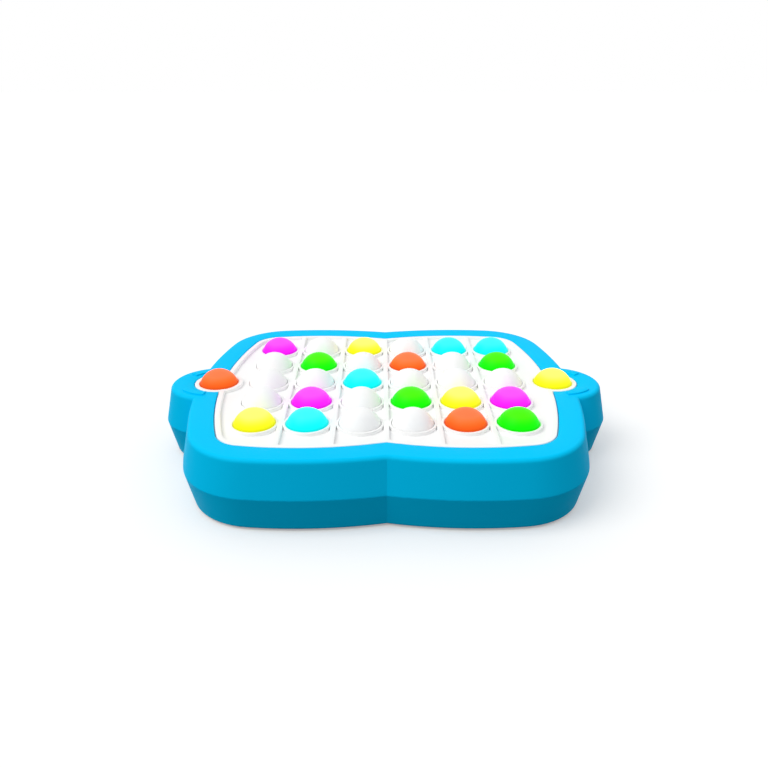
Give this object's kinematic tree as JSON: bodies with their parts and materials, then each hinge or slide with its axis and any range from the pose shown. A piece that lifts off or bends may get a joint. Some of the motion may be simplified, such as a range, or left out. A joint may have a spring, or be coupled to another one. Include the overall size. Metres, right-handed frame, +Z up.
{
  "type": "electronic bubble pop game",
  "caption": "Two-player tabletop pop game: lobed blue casing with side ears, white channelled face and a grid of light-up push-in domes over a rubber switch mat.",
  "frame": {"origin": "on the table under the middle of the casing", "axes": "+X to the right player's ear, +Y away from the viewer, +Z up out of the face"},
  "size_m": [0.2624, 0.2022, 0.0492],
  "materials": {
    "casing_blue": "moulded ABS, satin gloss",
    "panel_white": "moulded ABS, satin gloss",
    "bubble_white": "translucent moulded silicone, unlit",
    "bubble_magenta": "translucent moulded silicone, lit from below",
    "bubble_green": "translucent moulded silicone, lit from below",
    "bubble_yellow": "translucent moulded silicone, lit from below",
    "bubble_cyan": "translucent moulded silicone, lit from below",
    "bubble_orange": "translucent moulded silicone, lit from below",
    "mat_rubber": "moulded silicone",
    "board_laminate": "glass fibre laminate with solder mask",
    "lamp_body": "moulded lamp bodies",
    "component_black": "epoxy and ferrite",
    "screw_steel": "zinc plated",
    "cell_sleeve": "printed sleeve, plain",
    "contact_nickel": "nickel plated spring steel",
    "speaker_steel": "pressed steel",
    "speaker_paper": "pressed paper",
    "switch_black": "moulded acetal",
    "foot_rubber": "moulded rubber",
    "lead_red": "insulated wire",
    "lead_black": "insulated wire",
    "lead_blue": "insulated wire"
  },
  "bodies": {
    "casing": {"top_housing": "casing_blue", "bottom_housing": "casing_blue", "battery_door": "casing_blue", "face_panel": "panel_white", "switch_mat": "mat_rubber", "circuit_board": "board_laminate", "board_lamps": "lamp_body", "board_parts": "component_black", "board_screws": "screw_steel", "case_screws": "screw_steel", "battery_door_screw": "screw_steel", "small_screws": "screw_steel", "battery_cell_1": "cell_sleeve", "battery_cell_2": "cell_sleeve", "battery_cell_3": "cell_sleeve", "battery_springs": "contact_nickel", "battery_plates": "contact_nickel", "speaker_basket": "speaker_steel", "speaker_cone": "speaker_paper", "speaker_magnet": "component_black", "speaker_clamp": "panel_white", "switch_body": "speaker_steel", "rubber_feet": "foot_rubber", "battery_leads": "lead_red", "speaker_leads": "lead_black", "switch_leads": "lead_blue"},
    "switch_slider": {"switch_slider": "switch_black"},
    "bubble_row1_col1": {"bubble_row1_col1": "bubble_magenta"},
    "bubble_row1_col2": {"bubble_row1_col2": "bubble_white"},
    "bubble_row1_col3": {"bubble_row1_col3": "bubble_yellow"},
    "bubble_row1_col4": {"bubble_row1_col4": "bubble_white"},
    "bubble_row1_col5": {"bubble_row1_col5": "bubble_cyan"},
    "bubble_row1_col6": {"bubble_row1_col6": "bubble_cyan"},
    "bubble_row2_col1": {"bubble_row2_col1": "bubble_white"},
    "bubble_row2_col2": {"bubble_row2_col2": "bubble_green"},
    "bubble_row2_col3": {"bubble_row2_col3": "bubble_white"},
    "bubble_row2_col4": {"bubble_row2_col4": "bubble_orange"},
    "bubble_row2_col5": {"bubble_row2_col5": "bubble_white"},
    "bubble_row2_col6": {"bubble_row2_col6": "bubble_green"},
    "bubble_row3_col1": {"bubble_row3_col1": "bubble_white"},
    "bubble_row3_col2": {"bubble_row3_col2": "bubble_white"},
    "bubble_row3_col3": {"bubble_row3_col3": "bubble_cyan"},
    "bubble_row3_col4": {"bubble_row3_col4": "bubble_white"},
    "bubble_row3_col5": {"bubble_row3_col5": "bubble_white"},
    "bubble_row3_col6": {"bubble_row3_col6": "bubble_white"},
    "bubble_row4_col1": {"bubble_row4_col1": "bubble_white"},
    "bubble_row4_col2": {"bubble_row4_col2": "bubble_magenta"},
    "bubble_row4_col3": {"bubble_row4_col3": "bubble_white"},
    "bubble_row4_col4": {"bubble_row4_col4": "bubble_green"},
    "bubble_row4_col5": {"bubble_row4_col5": "bubble_yellow"},
    "bubble_row4_col6": {"bubble_row4_col6": "bubble_magenta"},
    "bubble_row5_col1": {"bubble_row5_col1": "bubble_yellow"},
    "bubble_row5_col2": {"bubble_row5_col2": "bubble_cyan"},
    "bubble_row5_col3": {"bubble_row5_col3": "bubble_white"},
    "bubble_row5_col4": {"bubble_row5_col4": "bubble_white"},
    "bubble_row5_col5": {"bubble_row5_col5": "bubble_orange"},
    "bubble_row5_col6": {"bubble_row5_col6": "bubble_green"},
    "left_player_bubble": {"left_player_bubble": "bubble_orange"},
    "right_player_bubble": {"right_player_bubble": "bubble_yellow"}
  },
  "joints": [
    {"name": "bubble_row1_col1_press", "type": "slide", "parent": "casing", "child": "bubble_row1_col1", "axis": [0, 0, -1], "range_m": [0, 0.004], "stiffness_N_per_m": 350, "springref_m": -0.002, "deforming": ["switch_mat"]},
    {"name": "bubble_row1_col2_press", "type": "slide", "parent": "casing", "child": "bubble_row1_col2", "axis": [0, 0, -1], "range_m": [0, 0.004], "stiffness_N_per_m": 350, "springref_m": -0.002, "deforming": ["switch_mat"]},
    {"name": "bubble_row1_col3_press", "type": "slide", "parent": "casing", "child": "bubble_row1_col3", "axis": [0, 0, -1], "range_m": [0, 0.004], "stiffness_N_per_m": 350, "springref_m": -0.002, "deforming": ["switch_mat"]},
    {"name": "bubble_row1_col4_press", "type": "slide", "parent": "casing", "child": "bubble_row1_col4", "axis": [0, 0, -1], "range_m": [0, 0.004], "stiffness_N_per_m": 350, "springref_m": -0.002, "deforming": ["switch_mat"]},
    {"name": "bubble_row1_col5_press", "type": "slide", "parent": "casing", "child": "bubble_row1_col5", "axis": [0, 0, -1], "range_m": [0, 0.004], "stiffness_N_per_m": 350, "springref_m": -0.002, "deforming": ["switch_mat"]},
    {"name": "bubble_row1_col6_press", "type": "slide", "parent": "casing", "child": "bubble_row1_col6", "axis": [0, 0, -1], "range_m": [0, 0.004], "stiffness_N_per_m": 350, "springref_m": -0.002, "deforming": ["switch_mat"]},
    {"name": "bubble_row2_col1_press", "type": "slide", "parent": "casing", "child": "bubble_row2_col1", "axis": [0, 0, -1], "range_m": [0, 0.004], "stiffness_N_per_m": 350, "springref_m": -0.002, "deforming": ["switch_mat"]},
    {"name": "bubble_row2_col2_press", "type": "slide", "parent": "casing", "child": "bubble_row2_col2", "axis": [0, 0, -1], "range_m": [0, 0.004], "stiffness_N_per_m": 350, "springref_m": -0.002, "deforming": ["switch_mat"]},
    {"name": "bubble_row2_col3_press", "type": "slide", "parent": "casing", "child": "bubble_row2_col3", "axis": [0, 0, -1], "range_m": [0, 0.004], "stiffness_N_per_m": 350, "springref_m": -0.002, "deforming": ["switch_mat"]},
    {"name": "bubble_row2_col4_press", "type": "slide", "parent": "casing", "child": "bubble_row2_col4", "axis": [0, 0, -1], "range_m": [0, 0.004], "stiffness_N_per_m": 350, "springref_m": -0.002, "deforming": ["switch_mat"]},
    {"name": "bubble_row2_col5_press", "type": "slide", "parent": "casing", "child": "bubble_row2_col5", "axis": [0, 0, -1], "range_m": [0, 0.004], "stiffness_N_per_m": 350, "springref_m": -0.002, "deforming": ["switch_mat"]},
    {"name": "bubble_row2_col6_press", "type": "slide", "parent": "casing", "child": "bubble_row2_col6", "axis": [0, 0, -1], "range_m": [0, 0.004], "stiffness_N_per_m": 350, "springref_m": -0.002, "deforming": ["switch_mat"]},
    {"name": "bubble_row3_col1_press", "type": "slide", "parent": "casing", "child": "bubble_row3_col1", "axis": [0, 0, -1], "range_m": [0, 0.004], "stiffness_N_per_m": 350, "springref_m": -0.002, "deforming": ["switch_mat"]},
    {"name": "bubble_row3_col2_press", "type": "slide", "parent": "casing", "child": "bubble_row3_col2", "axis": [0, 0, -1], "range_m": [0, 0.004], "stiffness_N_per_m": 350, "springref_m": -0.002, "deforming": ["switch_mat"]},
    {"name": "bubble_row3_col3_press", "type": "slide", "parent": "casing", "child": "bubble_row3_col3", "axis": [0, 0, -1], "range_m": [0, 0.004], "stiffness_N_per_m": 350, "springref_m": -0.002, "deforming": ["switch_mat"]},
    {"name": "bubble_row3_col4_press", "type": "slide", "parent": "casing", "child": "bubble_row3_col4", "axis": [0, 0, -1], "range_m": [0, 0.004], "stiffness_N_per_m": 350, "springref_m": -0.002, "deforming": ["switch_mat"]},
    {"name": "bubble_row3_col5_press", "type": "slide", "parent": "casing", "child": "bubble_row3_col5", "axis": [0, 0, -1], "range_m": [0, 0.004], "stiffness_N_per_m": 350, "springref_m": -0.002, "deforming": ["switch_mat"]},
    {"name": "bubble_row3_col6_press", "type": "slide", "parent": "casing", "child": "bubble_row3_col6", "axis": [0, 0, -1], "range_m": [0, 0.004], "stiffness_N_per_m": 350, "springref_m": -0.002, "deforming": ["switch_mat"]},
    {"name": "bubble_row4_col1_press", "type": "slide", "parent": "casing", "child": "bubble_row4_col1", "axis": [0, 0, -1], "range_m": [0, 0.004], "stiffness_N_per_m": 350, "springref_m": -0.002, "deforming": ["switch_mat"]},
    {"name": "bubble_row4_col2_press", "type": "slide", "parent": "casing", "child": "bubble_row4_col2", "axis": [0, 0, -1], "range_m": [0, 0.004], "stiffness_N_per_m": 350, "springref_m": -0.002, "deforming": ["switch_mat"]},
    {"name": "bubble_row4_col3_press", "type": "slide", "parent": "casing", "child": "bubble_row4_col3", "axis": [0, 0, -1], "range_m": [0, 0.004], "stiffness_N_per_m": 350, "springref_m": -0.002, "deforming": ["switch_mat"]},
    {"name": "bubble_row4_col4_press", "type": "slide", "parent": "casing", "child": "bubble_row4_col4", "axis": [0, 0, -1], "range_m": [0, 0.004], "stiffness_N_per_m": 350, "springref_m": -0.002, "deforming": ["switch_mat"]},
    {"name": "bubble_row4_col5_press", "type": "slide", "parent": "casing", "child": "bubble_row4_col5", "axis": [0, 0, -1], "range_m": [0, 0.004], "stiffness_N_per_m": 350, "springref_m": -0.002, "deforming": ["switch_mat"]},
    {"name": "bubble_row4_col6_press", "type": "slide", "parent": "casing", "child": "bubble_row4_col6", "axis": [0, 0, -1], "range_m": [0, 0.004], "stiffness_N_per_m": 350, "springref_m": -0.002, "deforming": ["switch_mat"]},
    {"name": "bubble_row5_col1_press", "type": "slide", "parent": "casing", "child": "bubble_row5_col1", "axis": [0, 0, -1], "range_m": [0, 0.004], "stiffness_N_per_m": 350, "springref_m": -0.002, "deforming": ["switch_mat"]},
    {"name": "bubble_row5_col2_press", "type": "slide", "parent": "casing", "child": "bubble_row5_col2", "axis": [0, 0, -1], "range_m": [0, 0.004], "stiffness_N_per_m": 350, "springref_m": -0.002, "deforming": ["switch_mat"]},
    {"name": "bubble_row5_col3_press", "type": "slide", "parent": "casing", "child": "bubble_row5_col3", "axis": [0, 0, -1], "range_m": [0, 0.004], "stiffness_N_per_m": 350, "springref_m": -0.002, "deforming": ["switch_mat"]},
    {"name": "bubble_row5_col4_press", "type": "slide", "parent": "casing", "child": "bubble_row5_col4", "axis": [0, 0, -1], "range_m": [0, 0.004], "stiffness_N_per_m": 350, "springref_m": -0.002, "deforming": ["switch_mat"]},
    {"name": "bubble_row5_col5_press", "type": "slide", "parent": "casing", "child": "bubble_row5_col5", "axis": [0, 0, -1], "range_m": [0, 0.004], "stiffness_N_per_m": 350, "springref_m": -0.002, "deforming": ["switch_mat"]},
    {"name": "bubble_row5_col6_press", "type": "slide", "parent": "casing", "child": "bubble_row5_col6", "axis": [0, 0, -1], "range_m": [0, 0.004], "stiffness_N_per_m": 350, "springref_m": -0.002, "deforming": ["switch_mat"]},
    {"name": "left_player_bubble_press", "type": "slide", "parent": "casing", "child": "left_player_bubble", "axis": [0, 0, -1], "range_m": [0, 0.004], "stiffness_N_per_m": 350, "springref_m": -0.002, "deforming": ["switch_mat"]},
    {"name": "right_player_bubble_press", "type": "slide", "parent": "casing", "child": "right_player_bubble", "axis": [0, 0, -1], "range_m": [0, 0.004], "stiffness_N_per_m": 350, "springref_m": -0.002, "deforming": ["switch_mat"]},
    {"name": "power_slide", "type": "slide", "parent": "casing", "child": "switch_slider", "axis": [1, 0, 0], "range_m": [0, 0.004]}
  ]
}
